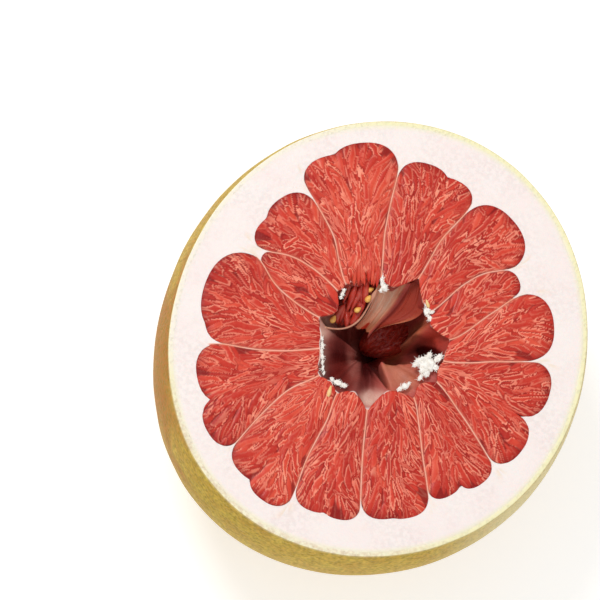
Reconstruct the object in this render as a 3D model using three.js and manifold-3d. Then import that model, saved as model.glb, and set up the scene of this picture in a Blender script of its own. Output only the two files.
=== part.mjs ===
// Half a pink pomelo, cut across a little above its middle and lying cut face up on a small flat spot.
// Millimetres, +Z up, origin on the surface it rests on, under the middle of its outline.
// The half is a bowl of rind and pith. Fourteen segments of flesh sit in pockets of the pith, parted by
// thin walls that meet round a hollow core, where a few undeveloped seeds hang at a torn segment.

import * as THREE from "three";
import { mergeVertices } from "three/addons/utils/BufferGeometryUtils.js";
import Module from "manifold-3d";

const wasm = await Module();
wasm.setup();

// The body of the fruit
const HEIGHT = 80; // flat spot to cut face
const WIDEST_Z = 64; // height of the widest ring
const WIDEST_RADIUS = 77.4;
const BODY_DEPTH = 64.95; // from the widest ring to the pole that the flat spot cuts off
const OVAL = 0.025; // share by which the fruit is longer along Y and shorter along X
const FACE_TURN = 38; // degrees that the ring of segments is turned about Z
const RIND = 1.8;
const GAP = 0.3; // clearance between neighbouring pieces
const SKIN_WAVES = [
  // how the outline departs from a circle: waves a turn, share of the radius, angle of the first crest
  { turns: 1, share: 0.019, crest: 21 },
  { turns: 2, share: 0.027, crest: 66 },
  { turns: 3, share: 0.0055, crest: 325 },
  { turns: 4, share: 0.0047, crest: 41 },
];
const BLOSSOM_SCAR = { radius: 3.6, depth: 0.9 };

// The flesh
const FLESH_DEPTH = 50; // from the widest ring down to where the segments would close
const FLESH_FLOOR = 18; // height at which most segments end
const WALL = 1; // between neighbouring segments
const CORE_WALL = 0.8; // between a segment and the hollow
const CROWN = 1; // how far the flesh swells above the cut

// The hollow core
const CORE_DEPTH = 40;
const CORE_FLOOR_SHARE = 0.42; // its radius at the floor, as a share of that at the face
const TORN_SEGMENT = 4; // the segment whose inner wall is torn open, counted from 0
const TORN_REACH = 2.2;

// Each wall between two segments runs outwards through these points: degrees round the face, then radius.
const WALLS = [
  [[342, 24.6], [349.5, 41.5], [352.2, 56.6]],
  [[359, 25.7], [371, 38], [377, 50.7]],
  [[26.5, 21.7], [32, 33.7], [32, 43.4], [27, 54]],
  [[55, 25.9], [57, 41], [54.5, 53.5]],
  [[85, 21.3], [85.5, 36.5], [84, 47.5], [82.4, 58.6]],
  [[119, 22], [112, 37.8], [113.3, 49], [114.8, 58]],
  [[128, 21.7], [131, 32.3], [135.2, 41.6], [142, 50]],
  [[158.8, 21.3], [155.5, 30], [151.5, 40], [145, 49]],
  [[188.5, 20], [187, 31], [184, 43.7], [181.2, 53]],
  [[212, 23.4], [209, 33.7], [213, 48], [216.5, 61]],
  [[233, 22.9], [238.5, 31], [239.5, 47], [242, 60]],
  [[262.7, 24.5], [263.3, 40], [264.8, 59]],
  [[304, 24], [297, 32.3], [292, 42.6], [288.5, 57.5]],
  [[325.7, 25.8], [320, 36], [316.2, 47.5], [313.3, 58.3]],
];

// Each segment lies between one wall and the next. core is the radius where it meets the hollow at its middle.
// The two narrow ones end higher than the rest, at their own floor.
// A lobe is a rounded end: its middle and half width as shares of the segment's width, then its outer radius.
const SEGMENTS = [
  { core: 24.8, lobes: [[0.5, 0.5, 62.8]] },
  { core: 20, lobes: [[0.52, 0.48, 54.4]] },
  { core: 21.3, lobes: [[0.5, 0.5, 63.9]] },
  { core: 19.6, lobes: [[0.28, 0.28, 62.8], [0.67, 0.33, 64.5]] },
  { core: 20, lobes: [[0.36, 0.36, 69.4], [0.71, 0.29, 66.8]] },
  { core: 21.3, floor: 53, lobes: [[0.35, 0.35, 59.8], [0.7, 0.3, 57.4]] },
  { core: 17, floor: 29, lobes: [[0.5, 0.5, 49.5]] },
  { core: 19.6, lobes: [[0.48, 0.48, 62.8], [0.72, 0.28, 60]] },
  { core: 21.3, lobes: [[0.3, 0.3, 63.5], [0.76, 0.24, 66.4]] },
  { core: 21.5, lobes: [[0.3, 0.3, 65.5], [0.7, 0.3, 67.8]] },
  { core: 19.8, lobes: [[0.3, 0.3, 63.2], [0.7, 0.3, 63.4]] },
  { core: 18.4, lobes: [[0.35, 0.35, 62.2], [0.65, 0.35, 62.8]] },
  { core: 21.8, lobes: [[0.26, 0.26, 60], [0.73, 0.27, 62.2]] },
  { core: 24, lobes: [[0.24, 0.24, 64], [0.74, 0.26, 63.8]] },
];
const LOBE_ROUNDING = 0.85; // length of a lobe's round end over its half width
const LOBE_FULLNESS = 2.5; // power of the curve of a lobe's end: 2 is an ellipse, more is blunter

// Juice sacs that bulge into the hollow where its wall is torn. Each is a lump of one segment's flesh:
// degrees round the face, radius and depth of its middle, then half its size round the ring, outwards and up.
const LUMPS = [
  { segment: 4, middle: [112, 16.5, 13], half: [10.5, 7, 9] },
  { segment: 2, middle: [30, 13.5, 30], half: [11, 5.5, 9] },
];

// A loose sheet of the torn wall that slopes down across the hollow: x, y and depth below the face of its edge
const FOLD = [
  [-0.6, 14.8, 8],
  [-4.7, 7.7, 16],
  [-0.4, 5.8, 18],
  [18.6, 10.2, 14],
  [16.6, 21.4, 3],
  [8.4, 20.4, 2.6],
  [1.4, 20.8, 2.6],
];
const FOLD_THICKNESS = 1.3;

// Undeveloped seeds: degrees round the face, radius, depth below the face, degrees that it is turned
const SEEDS = [
  [94, 18.2, 3.7, 20],
  [98, 15.2, 3.2, 70],
  [117, 12.7, 3.5, 110],
  [150.5, 15.9, 6.5, 40],
];
const SEED_RADIUS = 1.1;
const SEED_STRETCH = 1.45;

// Spongy remains of the core at the ends of the walls: degrees round the face, radius, size
const TUFTS = [
  [333, 22.5, 3.6],
  [27, 21.2, 1.9],
  [86, 21.4, 1.8],
  [124, 22.2, 1.8],
  [188, 20.6, 1.7],
  [236, 21.4, 2],
  [298, 19.4, 1.7],
];

// Facets
const ROUND_FACETS = 48;
const BODY_RINGS = 8;
const DEPTH_LEVELS = [HEIGHT, 67, 53, 40, 29, FLESH_FLOOR];
const SIDE_STEPS = [0.35, 0.7];
const LOBE_STEPS = 9;
const CORE_STEPS = 4;
const CUT_CLEAR = 3; // how far a cutting solid runs past the face

const rad = THREE.MathUtils.degToRad;
const mix = THREE.MathUtils.lerp;
const polar = (angle, radius, z) => [radius * Math.cos(rad(angle)), radius * Math.sin(rad(angle)), z];

// A closed solid through a stack of rings with the same number of points, each capped flat at the ends.
// From the first cap, which faces up, the rings run down the outside.
function loft(rings) {
  const count = rings[0].length;
  const position = rings.flat(2);
  const index = [];
  for (let ring = 0; ring + 1 < rings.length; ring++)
    for (let i = 0; i < count; i++) {
      const next = (i + 1) % count;
      const [a, b] = [ring * count + i, ring * count + next];
      index.push(a, a + count, b + count, a, b + count, b);
    }
  const cap = (ring, flip) => {
    const outline = rings[ring].map(([x, y]) => new THREE.Vector2(x, y));
    for (const [a, b, c] of THREE.ShapeUtils.triangulateShape(outline, []))
      index.push(...(flip ? [c, b, a] : [a, b, c]).map((i) => i + ring * count));
  };
  cap(0, false);
  cap(rings.length - 1, true);
  const geometry = new THREE.BufferGeometry();
  geometry.setAttribute("position", new THREE.Float32BufferAttribute(position, 3));
  geometry.setIndex(index);
  return geometry;
}

function solidOf(geometry) {
  const bare = geometry.clone();
  bare.deleteAttribute("normal");
  bare.deleteAttribute("uv");
  const merged = mergeVertices(bare, 1e-4);
  return new wasm.Manifold(
    new wasm.Mesh({
      numProp: 3,
      vertProperties: new Float32Array(merged.attributes.position.array),
      triVerts: new Uint32Array(merged.index.array),
    }),
  );
}

function geometryOf(solid) {
  const { vertProperties, triVerts } = solid.getMesh();
  const geometry = new THREE.BufferGeometry();
  geometry.setAttribute("position", new THREE.BufferAttribute(vertProperties, 3));
  geometry.setIndex(new THREE.BufferAttribute(triVerts, 1));
  geometry.computeVertexNormals();
  return geometry;
}

// Share by which the fruit's outline is larger than a circle at an angle
function skinShape(angle) {
  const waves = SKIN_WAVES.map(({ turns, share, crest }) => share * Math.cos(rad(turns * (angle - crest))));
  return 1 + waves.reduce((sum, wave) => sum + wave, 0);
}

// Rings of the body's surface, drawn in by inset, from the flat spot up to the cut face
function bodyRings(inset) {
  const depth = BODY_DEPTH - inset;
  const low = Math.acos((WIDEST_Z - inset) / depth);
  const high = Math.PI / 2 + Math.asin((HEIGHT - WIDEST_Z) / depth);
  return Array.from({ length: BODY_RINGS + 1 }, (_, ring) => {
    const fromPole = mix(low, high, ring / BODY_RINGS);
    const z = WIDEST_Z - depth * Math.cos(fromPole);
    return roundRing((WIDEST_RADIUS - inset) * Math.sin(fromPole), z);
  });
}

function roundRing(radius, z) {
  return Array.from({ length: ROUND_FACETS }, (_, i) => {
    const angle = (360 * i) / ROUND_FACETS;
    return polar(angle, radius * skinShape(angle), z);
  });
}

function rindSolid() {
  const scar = [
    roundRing(BLOSSOM_SCAR.radius, 0),
    roundRing(BLOSSOM_SCAR.radius / 2, BLOSSOM_SCAR.depth),
  ];
  return loft([...bodyRings(RIND), ...bodyRings(0).reverse(), ...scar]);
}

// How wide the ring of segments is at a height, against its width at the cut face
function fleshShare(z) {
  const width = (height) => Math.sqrt(1 - ((height - WIDEST_Z) / FLESH_DEPTH) ** 2);
  return width(z) / width(HEIGHT);
}

// The same for the hollow core, and below its floor for the pith column under it
function coreShare(z) {
  const down = Math.min((HEIGHT - z) / CORE_DEPTH, 1);
  return Math.sqrt(1 - (1 - CORE_FLOOR_SHARE ** 2) * down ** 2);
}

// A wall's angle at a radius, on straight lines between its points
function wallAngle(wall, radius) {
  const last = wall.length - 1;
  if (radius <= wall[0][1]) return wall[0][0];
  for (let i = 0; i < last; i++)
    if (radius <= wall[i + 1][1]) {
      const along = (radius - wall[i][1]) / (wall[i + 1][1] - wall[i][1]);
      return mix(wall[i][0], wall[i + 1][0], along);
    }
  return wall[last][0];
}

// A segment's two walls, with angles that rise from the first to the second
function wallsOf(number) {
  const first = WALLS[number];
  const second = WALLS[(number + 1) % WALLS.length];
  const wrap = second[0][0] < first[0][0] ? 360 : 0;
  const turned = second.map(([angle, radius]) => [angle + wrap, radius]);
  const back = turned[0][0] - first[0][0] > 180 ? 360 : 0;
  return [first, turned.map(([angle, radius]) => [angle - back, radius])];
}

// Radius where a segment meets the hollow, across its width from 0 to 1: a parabola through its core radius
function coreEdge(number, across) {
  const [first, second] = wallsOf(number);
  const straight = mix(first[0][1], second[0][1], across);
  const middle = (first[0][1] + second[0][1]) / 2;
  return straight + (SEGMENTS[number].core - middle) * 4 * across * (1 - across);
}

// Radius of a segment's outer end across its width: the furthest of its lobes
function lobeEdge(number, across) {
  const [first, second] = wallsOf(number);
  const reach = SEGMENTS[number].lobes.map(([middle, half, radius]) => {
    const width = rad(wallAngle(second, radius) - wallAngle(first, radius)) * radius;
    const round = LOBE_ROUNDING * half * width;
    const off = Math.min(Math.abs(across - middle) / half, 1);
    return radius - round + round * (1 - off ** LOBE_FULLNESS) ** (1 / LOBE_FULLNESS);
  });
  return Math.max(...reach);
}

// A point of a segment on the face plane, by its share of the width and its radius there,
// carried down to height z. side keeps it clear of the walls on both sides.
function segmentPoint(number, across, radius, share, z, side) {
  const [first, second] = wallsOf(number);
  const keep = THREE.MathUtils.radToDeg(side / (radius * share));
  const low = wallAngle(first, radius) + keep;
  const high = wallAngle(second, radius) - keep;
  return polar(mix(low, high, across), radius * share, z);
}

// The outline of a segment at height z: up its first wall, round its lobes, down the second wall and
// along the hollow. shrink draws all of it in.
function segmentOutline(number, z, shrink) {
  const side = WALL / 2 + shrink;
  const outer = fleshShare(z);
  const inner = coreShare(z);
  const place = (across, out) => {
    const core = coreEdge(number, across) + (CORE_WALL + shrink) / inner;
    const lobe = lobeEdge(number, across) - shrink / outer;
    return segmentPoint(number, across, mix(core, lobe, out), mix(inner, outer, out), z, side);
  };
  const points = SIDE_STEPS.map((out) => place(0, out));
  for (let i = 0; i <= LOBE_STEPS; i++)
    points.push(place((1 - Math.cos((Math.PI * i) / LOBE_STEPS)) / 2, 1));
  points.push(...[...SIDE_STEPS].reverse().map((out) => place(1, out)));
  for (let i = CORE_STEPS; i >= 0; i--) points.push(place(i / CORE_STEPS, 0));
  return points;
}

function levelsOf(number) {
  const floor = SEGMENTS[number].floor ?? FLESH_FLOOR;
  return DEPTH_LEVELS.filter((z) => z >= floor);
}

function pocketSolid(number) {
  const above = segmentOutline(number, HEIGHT, 0).map(([x, y]) => [x, y, HEIGHT + CUT_CLEAR]);
  return loft([above, ...levelsOf(number).map((z) => segmentOutline(number, z, 0))]);
}

// The flesh of a segment, with a low crown above the cut
function fleshSolid(number) {
  const floor = Math.min(...levelsOf(number));
  const lift = (z) => HEIGHT - (HEIGHT - z) * (1 - GAP / (HEIGHT - floor));
  const levels = levelsOf(number).map((z) => segmentOutline(number, z, GAP).map(([x, y]) => [x, y, lift(z)]));
  const face = levels[0];
  const middle = face.reduce(([sx, sy], [x, y]) => [sx + x / face.length, sy + y / face.length], [0, 0]);
  const crown = (share, rise) =>
    face.map(([x, y]) => [mix(middle[0], x, share), mix(middle[1], y, share), HEIGHT + rise * CROWN]);
  return loft([crown(0.55, 1), crown(0.9, 0.7), ...levels]);
}

// The hollow core as a solid to cut with: it follows the inner ends of the segments
function coreSolid() {
  const ring = (z, up) =>
    SEGMENTS.flatMap((_, number) =>
      Array.from({ length: CORE_STEPS }, (_, i) => {
        const across = i / CORE_STEPS;
        const torn = number === TORN_SEGMENT && i > 0 ? TORN_REACH : 0;
        const edge = coreEdge(number, across);
        const [x, y] = segmentPoint(number, across, edge, coreShare(z), z, 0);
        const grow = 1 + torn / edge;
        return [x * grow, y * grow, z + up];
      }),
    );
  const levels = DEPTH_LEVELS.filter((z) => z >= HEIGHT - CORE_DEPTH);
  return loft([ring(HEIGHT, CUT_CLEAR), ...levels.map((z) => ring(z, 0))]);
}

function lumpSolid({ middle: [angle, radius, depth], half }, grow) {
  const lump = new THREE.IcosahedronGeometry(1, 2);
  lump.scale(...half.map((size) => size + grow));
  lump.rotateZ(rad(angle - 90));
  lump.translate(...polar(angle, radius, HEIGHT - depth));
  return solidOf(lump);
}

// The sheet of torn wall, as thick straight down all over
function foldSolid() {
  const layer = (down) => FOLD.map(([x, y, depth]) => [x, y, HEIGHT - depth - down]);
  return solidOf(loft([layer(0), layer(FOLD_THICKNESS)]));
}

function tuftSolid([angle, radius, size]) {
  const tuft = new THREE.IcosahedronGeometry(size, 1);
  tuft.scale(1, 1, 0.8);
  tuft.translate(...polar(angle, radius, HEIGHT - size * 0.6));
  return solidOf(tuft);
}

// Pith: the white bowl with a pocket for each segment, the walls between them and the tufts round the core
function pithSolid() {
  const block = (low, high) => {
    const box = new THREE.BoxGeometry(4 * WIDEST_RADIUS, 4 * WIDEST_RADIUS, high - low);
    box.translate(0, 0, (low + high) / 2);
    return solidOf(box);
  };
  let pith = solidOf(loft(bodyRings(RIND + GAP).reverse()));
  pith = pith.subtract(solidOf(coreSolid()));
  pith = pith.add(foldSolid());
  for (const tuft of TUFTS) pith = pith.add(tuftSolid(tuft).subtract(block(HEIGHT, 2 * HEIGHT)));
  for (const pocket of pockets) pith = pith.subtract(pocket);
  for (const lump of LUMPS) pith = pith.subtract(lumpSolid(lump, GAP));
  return geometryOf(mainBody(pith));
}

// A segment's flesh with its lump, which stays out of the other segments' pockets
function segmentGeometry(number) {
  let flesh = solidOf(fleshSolid(number));
  for (const lump of LUMPS.filter(({ segment }) => segment === number)) {
    let bulge = lumpSolid(lump, 0);
    for (const pocket of pockets.filter((_, other) => other !== number)) bulge = bulge.subtract(pocket);
    flesh = flesh.add(bulge);
  }
  return geometryOf(mainBody(flesh));
}

// The largest of the separate bodies that cutting has left
function mainBody(solid) {
  return solid.decompose().sort((a, b) => b.volume() - a.volume())[0];
}

function seedGeometry() {
  const seed = new THREE.SphereGeometry(SEED_RADIUS, 8, 6);
  seed.rotateZ(Math.PI / 2);
  seed.scale(1, SEED_STRETCH, 1);
  return seed;
}

const finish = {
  rind: new THREE.MeshStandardMaterial({ color: 0xbfae4c, roughness: 0.55, metalness: 0 }),
  pith: new THREE.MeshStandardMaterial({ color: 0xf7ece6, roughness: 0.85, metalness: 0 }),
  flesh: new THREE.MeshStandardMaterial({ color: 0xcf4638, roughness: 0.35, metalness: 0 }),
  seed: new THREE.MeshStandardMaterial({ color: 0xe0a33c, roughness: 0.5, metalness: 0 }),
};

function named(name, geometry, material) {
  const mesh = new THREE.Mesh(geometry, material);
  mesh.name = name;
  return mesh;
}

const pockets = SEGMENTS.map((_, number) => solidOf(pocketSolid(number)));
const turned = new THREE.Group();
turned.rotation.z = rad(FACE_TURN);
turned.add(named("rind", rindSolid(), finish.rind));
turned.add(named("pith", pithSolid(), finish.pith));
SEGMENTS.forEach((_, number) => {
  turned.add(named(`segment_${String(number + 1).padStart(2, "0")}`, segmentGeometry(number), finish.flesh));
});
SEEDS.forEach(([angle, radius, down, turn], number) => {
  const seed = named(`seed_${number + 1}`, seedGeometry(), finish.seed);
  seed.position.set(...polar(angle, radius, HEIGHT - down));
  seed.rotation.z = rad(turn);
  turned.add(seed);
});

const pomelo = new THREE.Group();
pomelo.scale.set(1 - OVAL, 1 + OVAL, 1);
pomelo.add(turned);
pomelo.updateMatrixWorld(true);
const middle = new THREE.Box3().setFromObject(pomelo, true).getCenter(new THREE.Vector3());
pomelo.position.set(-middle.x, -middle.y, 0);

export default pomelo;
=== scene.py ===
"""Half a pink pomelo, cut face up: rind, pith, fourteen segments of juice sacs and a torn, hollow core."""

import math

import bpy
import numpy as np
from bpy.props import FloatProperty, FloatVectorProperty, PointerProperty
from bpy.types import Operator, Panel, PropertyGroup
from mathutils import Matrix, Vector


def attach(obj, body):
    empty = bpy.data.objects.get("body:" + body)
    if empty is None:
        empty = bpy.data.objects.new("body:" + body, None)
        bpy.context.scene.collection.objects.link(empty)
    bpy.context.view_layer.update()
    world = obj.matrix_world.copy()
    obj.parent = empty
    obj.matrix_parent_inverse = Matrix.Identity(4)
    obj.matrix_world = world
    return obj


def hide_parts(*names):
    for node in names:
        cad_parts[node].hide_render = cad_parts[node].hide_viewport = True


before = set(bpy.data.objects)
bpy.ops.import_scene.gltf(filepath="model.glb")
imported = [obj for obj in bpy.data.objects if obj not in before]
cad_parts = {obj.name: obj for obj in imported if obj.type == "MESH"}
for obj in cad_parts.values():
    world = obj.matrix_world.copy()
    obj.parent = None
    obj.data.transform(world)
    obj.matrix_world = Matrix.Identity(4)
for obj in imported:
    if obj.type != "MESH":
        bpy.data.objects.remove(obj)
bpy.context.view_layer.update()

bl_info = {
    "name": "Half pomelo",
    "version": (1, 0, 0),
    "blender": (4, 5, 0),
    "location": "3D View > Sidebar > Pomelo",
    "description": "Rind, pith, juice sacs and torn core of a cut pomelo",
    "category": "Object",
}

MM = 0.001

# The body, in millimetres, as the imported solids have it
HEIGHT = 80.0
WIDEST_Z = 64.0
WIDEST_RADIUS = 77.4
BODY_DEPTH = 64.95
FACE_RISE = HEIGHT - WIDEST_Z
FACE_SHARE = 0.96918  # width of the dome at the face over its widest
OVAL = 0.025
FACE_TURN = math.radians(38)
FRUIT_SHIFT = (-1.125, -1.227)
RIND = 1.8
SKIN_WAVES = ((1, 0.019, 21), (2, 0.027, 66), (3, 0.0055, 325), (4, 0.0047, 41))
LEAN = (0.194, 0.234)  # how far what lies one deeper seems shifted, against the tilted line of sight
FLESH_DEPTH = 50.0
FLESH_FLOOR = 18.0
CORE_DEPTH = 40.0
CORE_FLOOR_SHARE = 0.42
DEPTH_LEVELS = (67.0, 53.0, 40.0, 29.0, FLESH_FLOOR)
TORN_SEGMENT = 4
PALE_SEGMENTS = (4, 9)
DRAPE_DEPTH = 21.0

# Each wall between two segments runs outwards through these points: degrees round the face, then radius.
WALLS = (
    ((-18, 24.6), (-10.5, 41.5), (-7.8, 56.6)),
    ((-1, 25.7), (11, 38), (17, 50.7)),
    ((26.5, 21.7), (32, 33.7), (32, 43.4), (27, 54)),
    ((55, 25.9), (57, 41), (54.5, 53.5)),
    ((85, 21.3), (85.5, 36.5), (84, 47.5), (82.4, 58.6)),
    ((119, 22), (112, 37.8), (113.3, 49), (114.8, 58)),
    ((128, 21.7), (131, 32.3), (135.2, 41.6), (142, 50)),
    ((158.8, 21.3), (155.5, 30), (151.5, 40), (145, 49)),
    ((188.5, 20), (187, 31), (184, 43.7), (181.2, 53)),
    ((212, 23.4), (209, 33.7), (213, 48), (216.5, 61)),
    ((233, 22.9), (238.5, 31), (239.5, 47), (242, 60)),
    ((262.7, 24.5), (263.3, 40), (264.8, 59)),
    ((304, 24), (297, 32.3), (292, 42.6), (288.5, 57.5)),
    ((325.7, 25.8), (320, 36), (316.2, 47.5), (313.3, 58.3)),
)

# For each segment: radius at the hollow, height of its floor, and its lobes as middle, half width and radius
SEGMENTS = (
    (24.8, 18, ((0.5, 0.5, 62.8),)),
    (20, 18, ((0.52, 0.48, 54.4),)),
    (21.3, 18, ((0.5, 0.5, 63.9),)),
    (19.6, 18, ((0.28, 0.28, 62.8), (0.67, 0.33, 64.5))),
    (20, 18, ((0.36, 0.36, 69.4), (0.71, 0.29, 66.8))),
    (21.3, 53, ((0.35, 0.35, 59.8), (0.7, 0.3, 57.4))),
    (17, 29, ((0.5, 0.5, 49.5),)),
    (19.6, 18, ((0.48, 0.48, 62.8), (0.72, 0.28, 60))),
    (21.3, 18, ((0.3, 0.3, 63.5), (0.76, 0.24, 66.4))),
    (21.5, 18, ((0.3, 0.3, 65.5), (0.7, 0.3, 67.8))),
    (19.8, 18, ((0.3, 0.3, 63.2), (0.7, 0.3, 63.4))),
    (18.4, 18, ((0.35, 0.35, 62.2), (0.65, 0.35, 62.8))),
    (21.8, 18, ((0.26, 0.26, 60), (0.73, 0.27, 62.2))),
    (24, 18, ((0.24, 0.24, 64), (0.74, 0.26, 63.8))),
)
LOBE_ROUNDING = 0.85
LOBE_FULLNESS = 2.5
WALL_REACH = 2.2  # columns of the pith's face this near a wall keep their distance from it
SAC_COUNT = 0.18  # sacs to a square millimetre of a segment's face

# Spongy remains of the core at the ends of the walls: x, y, radius, how many times as long, which way
TUFTS = (
    (-12.3, 14.8, 0.6, 1.3, 70), (-11.8, 16.0, 0.7, 1.3, 65), (-11.3, 17.3, 0.6, 1.3, 60),
    (2.2, 20.8, 0.9, 2.2, 86), (2.9, 18.4, 1.1, 1.4, 110), (1.6, 17.2, 0.6, 1.6, 60),
    (17.9, 10.0, 1.3, 1.5, 80), (18.9, 7.4, 1.0, 1.4, 120), (19.6, 9.6, 0.6, 1.8, 20),
    (17.3, 12.2, 0.5, 2.0, 100), (17.9, -8.4, 3.0, 1.15, -30), (15.4, -7.6, 1.6, 1.4, 20),
    (21.9, -6.3, 1.1, 1.9, 40), (17.4, -11.4, 1.4, 1.3, -70), (13.9, -8.6, 1.0, 1.4, 20),
    (16.4, -10.6, 1.4, 1.2, -40), (20.6, -9.6, 1.0, 1.6, -30), (15.4, -13.2, 0.8, 1.8, -120),
    (18.6, -5.6, 1.0, 1.5, 60), (10.1, -16.2, 1.1, 1.3, 10), (8.3, -17.1, 0.8, 1.5, 30),
    (11.4, -15.2, 0.5, 1.5, 60), (-13.4, -14.9, 1.2, 1.3, -15), (-11.3, -15.8, 0.9, 1.5, -20),
    (-15.4, -13.6, 0.7, 1.5, -40), (-18.9, 0.4, 0.5, 2.0, 95), (-18.8, -1.8, 0.7, 1.7, 95),
    (-19.0, -3.8, 0.5, 2.0, 90), (-18.8, -5.8, 0.7, 1.7, 90), (-18.7, -7.8, 0.5, 2.0, 85),
    (-18.6, -9.8, 0.6, 1.8, 80), (-18.2, -11.6, 0.5, 1.6, 75),
)

# Undeveloped seeds: x, y, depth below the face, degrees that it is turned, length
SEEDS = (
    (-1.3, 18.3, 3.6, 15, 2.5),
    (-2.2, 15.1, 3.3, 55, 2.9),
    (-5.7, 11.4, 4.0, 30, 2.7),
    (-13.9, 8.6, 6.0, 60, 3.0),
)
PALE_SEEDS = ((-16.3, -17.9, -0.1, 75, 4.4), (17.9, 12.6, -0.1, 110, 3.4))

TUFT_SHADOW = (18.5, -4.6, 4.5, 2.2, -10)  # painted shadow under the largest tuft: dark, and no red shows
# Lining of the hollow: what changes and by how much, then the patch's middle as seen, half sizes and turn
# Lowered tone is painted shade: darker where the hollow lies in shade, darkest in the painted shadow under the
# largest tuft
LINING_PATCHES = (
    ("tone", 0.8, (9.0, -13.2, 9.0, 6.0, 5)), ("tone", -0.15, (-4.5, -15.2, 5, 3, 0)),
    ("tone", 0.48, (-8.0, -6, 2.4, 9, 4)), ("tone", 1.3, (10.5, -1.0, 2.6, 11, -43)),
    ("tone", 0.4, (21, 1.5, 6, 4, -20)), ("tone", 0.8, (-0.5, -21.5, 5, 4, 0)),
    ("tone", 0.6, (-18.5, 4, 3, 4, 0)),
    ("tone", -0.25, (-15.5, -13.2, 5, 3, 0)), ("tone", -0.18, (-12.7, -5.2, 2.8, 7, 0)),
    ("tone", -0.5, (-3, -7, 3.6, 7, 10)), ("tone", -0.6, (5, -1, 11, 5, 19)),
    ("tone", -1.6, TUFT_SHADOW),
    ("red", 0.7, (21, 0.5, 6, 4.5, -20)), ("red", 0.4, (12, 10, 6, 6, 0)), ("red", 0.15, (-12, -12, 6, 6, 0)),
    ("pale", 0.6, (-18.0, 5.0, 3.6, 4.2, 0)), ("pale", 0.22, (-19.5, -5, 2.4, 9, 0)),
    ("pale", 0.14, (-8.0, -6, 2.2, 9, 4)), ("pale", 0.04, (5.5, -12.6, 6, 5, 5)),
    ("pale", 0.8, (-0.6, -20.6, 5, 3.0, 0)),
)


def linear(red, green, blue):
    """Screen colour from 0 to 255 as the linear values that shaders take."""
    screen = (red, green, blue)
    return tuple((c / 255 / 12.92) if c < 10 else ((c / 255 + 0.055) / 1.055) ** 2.4 for c in screen)


# The fruit's forms, in millimetres


def to_frame(x, y, z):
    """Face coordinates to metres in the frame: turned about Z, made oval, then shifted."""
    c, s = math.cos(FACE_TURN), math.sin(FACE_TURN)
    across = (1 - OVAL) * (c * x - s * y) + FRUIT_SHIFT[0]
    along = (1 + OVAL) * (s * x + c * y) + FRUIT_SHIFT[1]
    return np.stack(np.broadcast_arrays(across, along, z), -1) * MM


def skin_share(angle):
    """How much larger than a circle the outline is at an angle: one plus a few cosine waves."""
    return 1 + sum(share * np.cos(np.radians(turns * (angle - crest))) for turns, share, crest in SKIN_WAVES)


def wall_angle(number, radius):
    """Angle of a wall at a radius: straight lines between its points, averaged over a few millimetres."""
    angles, radii = np.array(WALLS[number % 14], float).T
    steps = (-3, -1.5, 0, 1.5, 3)
    return sum(np.interp(radius + step, radii, angles) for step in steps) / len(steps) + 360 * (number // 14)


def edge_tint(angle):
    """How yellow the cut edge of the skin is: full on the right and below, faint at the upper left."""
    angle = np.mod(angle, 360)
    return 1 - 0.8 * smooth(85, 115, angle) * smooth(200, 175, angle)


def core_edge(number, across):
    """Radius where a segment meets the hollow: a parabola across it through its radius at the middle."""
    first, second = WALLS[number][0][1], WALLS[(number + 1) % 14][0][1]
    straight = first + (second - first) * across
    return straight + (SEGMENTS[number][0] - (first + second) / 2) * 4 * across * (1 - across)


def lobe_edge(number, across):
    """Radius of a segment's outer end: the furthest of its lobes, each a blunt half ellipse."""
    reach = []
    for middle, half, radius in SEGMENTS[number][2]:
        width = np.radians(wall_angle(number + 1, radius) - wall_angle(number, radius)) * radius
        rounding = LOBE_ROUNDING * half * width
        off = np.minimum(np.abs(across - middle) / half, 1)
        reach.append(radius - rounding + rounding * (1 - off**LOBE_FULLNESS) ** (1 / LOBE_FULLNESS))
    return np.maximum.reduce(reach)


def flesh_share(z):
    """Width of the ring of segments at a height over that at the face: an ellipse."""
    return np.sqrt(1 - ((z - WIDEST_Z) / FLESH_DEPTH) ** 2) / math.sqrt(1 - (FACE_RISE / FLESH_DEPTH) ** 2)


def core_share(z):
    """Width of the hollow at a height over that at the face: part of an ellipse."""
    down = np.minimum((HEIGHT - z) / CORE_DEPTH, 1)
    return np.sqrt(1 - (1 - CORE_FLOOR_SHARE**2) * down**2)


def segment_point(number, across, out, z, side, shrink=0.0):
    """A point of a segment: out runs from hollow to lobes, across from wall to wall, side clears the walls."""
    inner, outer = core_share(z), flesh_share(z)
    core = core_edge(number, across) + shrink / inner
    lobe = lobe_edge(number, across) - shrink / outer
    radius = core + (lobe - core) * out
    share = inner + (outer - inner) * out
    keep = np.degrees(side / (radius * share))
    low = wall_angle(number, radius) + keep
    high = wall_angle(number + 1, radius) - keep
    turn = np.radians(low + (high - low) * across)
    return radius * share * np.cos(turn), radius * share * np.sin(turn)


def noise(x, y, z, seed=0):
    """Smooth noise from -1 to 1: hashed values at whole numbers, joined by cubic steps."""
    x, y, z = np.broadcast_arrays(x, y, z)
    base = [np.floor(v).astype(np.int64) for v in (x, y, z)]
    part = [v - b for v, b in zip((x, y, z), base)]
    ease = [p * p * (3 - 2 * p) for p in part]
    total = 0.0
    for corner in range(8):
        bit = [(corner >> k) & 1 for k in range(3)]
        key = (base[0] + bit[0]) * 73856093 ^ (base[1] + bit[1]) * 19349663 ^ (base[2] + bit[2]) * 83492791
        key = (key + seed * 2654435761) & 0xFFFFFFFF
        key = ((key ^ (key >> 15)) * 2246822519) & 0xFFFFFFFF
        key = ((key ^ (key >> 13)) * 3266489917) & 0xFFFFFFFF
        value = ((key ^ (key >> 16)) & 0xFFFF) / 32767.5 - 1
        weight = 1.0
        for k in range(3):
            weight = weight * (ease[k] if bit[k] else 1 - ease[k])
        total = total + value * weight
    return total


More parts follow.
